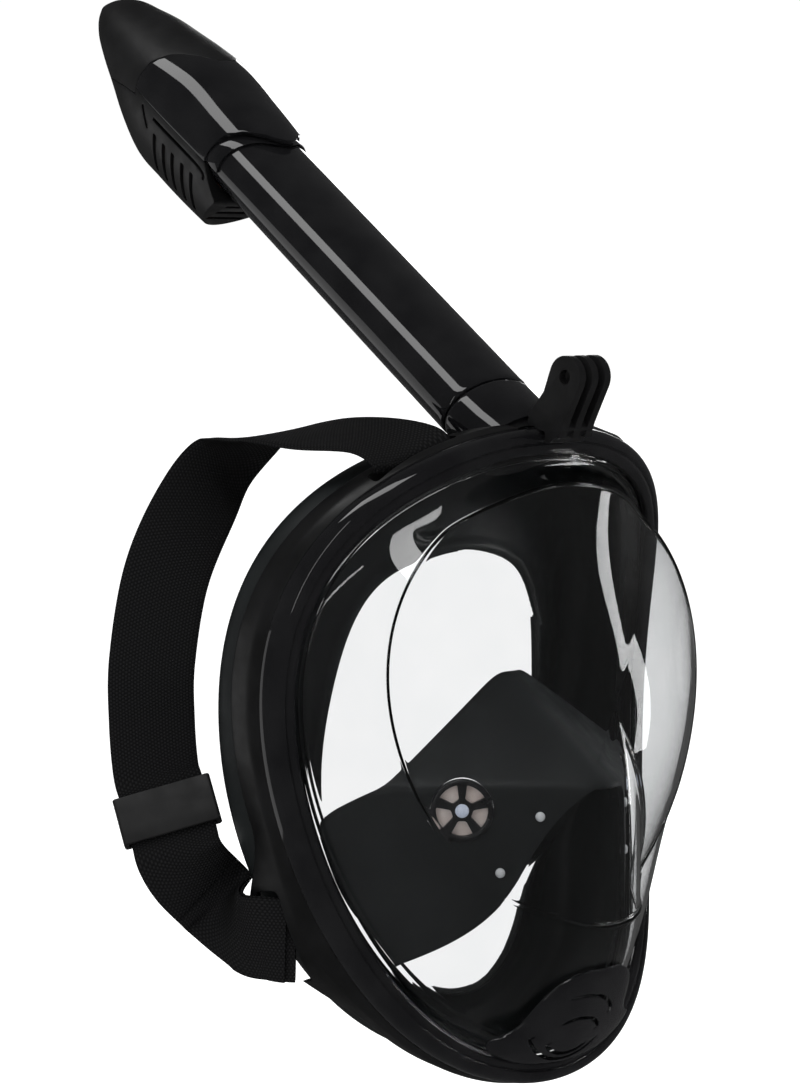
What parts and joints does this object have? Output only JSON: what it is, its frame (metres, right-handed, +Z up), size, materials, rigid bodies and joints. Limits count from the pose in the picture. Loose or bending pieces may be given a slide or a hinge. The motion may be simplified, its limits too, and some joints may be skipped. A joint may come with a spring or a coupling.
{
  "type": "full face snorkel",
  "caption": "Full face snorkel mask with clear domed lens, silicone skirt and nose pocket, dry-top breathing tube, camera mount and elastic head straps.",
  "frame": {"origin": "middle of the face rim's height, in the plane of the rim's top and bottom, on the mirror plane", "axes": "-Y is the way the wearer looks, +X is the wearer's left, +Z is up"},
  "size_m": [0.2346, 0.2948, 0.401],
  "materials": {
    "lens": "clear polished",
    "gloss_black": "high gloss",
    "satin_black": "satin",
    "matte_black": "fine matte",
    "silicone": "soft satin",
    "stud_grey": "satin",
    "valve_black": "satin",
    "flap": "translucent satin",
    "float_orange": "satin",
    "webbing": "fine elastic weave"
  },
  "bodies": {
    "mask": {"lens": "lens", "front_bezel": "gloss_black", "rear_frame": "satin_black", "face_skirt": "silicone", "nose_pocket": "silicone", "pocket_studs": "stud_grey", "inhale_valve_seat_right": "valve_black", "inhale_valve_seat_left": "valve_black", "chin_valve_seat": "valve_black", "chin_cover": "gloss_black", "tube_socket": "gloss_black", "strap_right": "webbing", "strap_left": "webbing"},
    "snorkel": {"snorkel_tube": "gloss_black", "socket_gasket": "silicone", "head_collar": "gloss_black", "head_shell": "gloss_black", "head_tip": "matte_black", "vent_housing": "matte_black", "valve_plate": "valve_black"},
    "float_unit": {"float": "float_orange", "float_seal": "silicone"},
    "exhaust_flap": {"exhaust_flap": "flap"},
    "inhale_flap_right": {"inhale_valve_disc_right": "flap"},
    "inhale_flap_left": {"inhale_valve_disc_left": "flap"},
    "chin_flap": {"chin_valve_disc": "flap"},
    "camera_clip": {"camera_mount": "matte_black"},
    "adjuster_right": {"adjuster_right": "matte_black"},
    "adjuster_left": {"adjuster_left": "matte_black"}
  },
  "joints": [
    {"name": "snorkel_pull", "type": "slide", "parent": "mask", "child": "snorkel", "axis": [0, 0.8192, 0.5736], "range_m": [0, 0.02]},
    {"name": "float_slide", "type": "slide", "parent": "snorkel", "child": "float_unit", "axis": [0, 0.8192, 0.5736], "range_m": [0, 0.008]},
    {"name": "exhaust_flap_hinge", "type": "hinge", "parent": "snorkel", "child": "exhaust_flap", "pos_m": [0, 0.1898, 0.24646], "axis": [1, 0, 0], "range_deg": [0, 25], "stiffness_Nm_per_rad": 0.0005},
    {"name": "inhale_right_lift", "type": "slide", "parent": "mask", "child": "inhale_flap_right", "axis": [0.6771, 0.7359, 0], "range_m": [0, 0.001], "stiffness_N_per_m": 40},
    {"name": "inhale_left_lift", "type": "slide", "parent": "mask", "child": "inhale_flap_left", "axis": [-0.6771, 0.7359, 0], "range_m": [0, 0.001], "stiffness_N_per_m": 40},
    {"name": "chin_lift", "type": "slide", "parent": "mask", "child": "chin_flap", "axis": [0, -0.8746, -0.4848], "range_m": [0, 0.001], "stiffness_N_per_m": 40},
    {"name": "camera_clip_pull", "type": "slide", "parent": "mask", "child": "camera_clip", "axis": [0, -0.4067, 0.9135], "range_m": [0, 0.014]},
    {"name": "adjuster_right_slide", "type": "slide", "parent": "mask", "child": "adjuster_right", "axis": [-0.1121, -0.5394, -0.8346], "range_m": [-0.004, 0.004]},
    {"name": "adjuster_left_slide", "type": "slide", "parent": "mask", "child": "adjuster_left", "axis": [0.1121, -0.5394, -0.8346], "range_m": [-0.004, 0.004]}
  ]
}
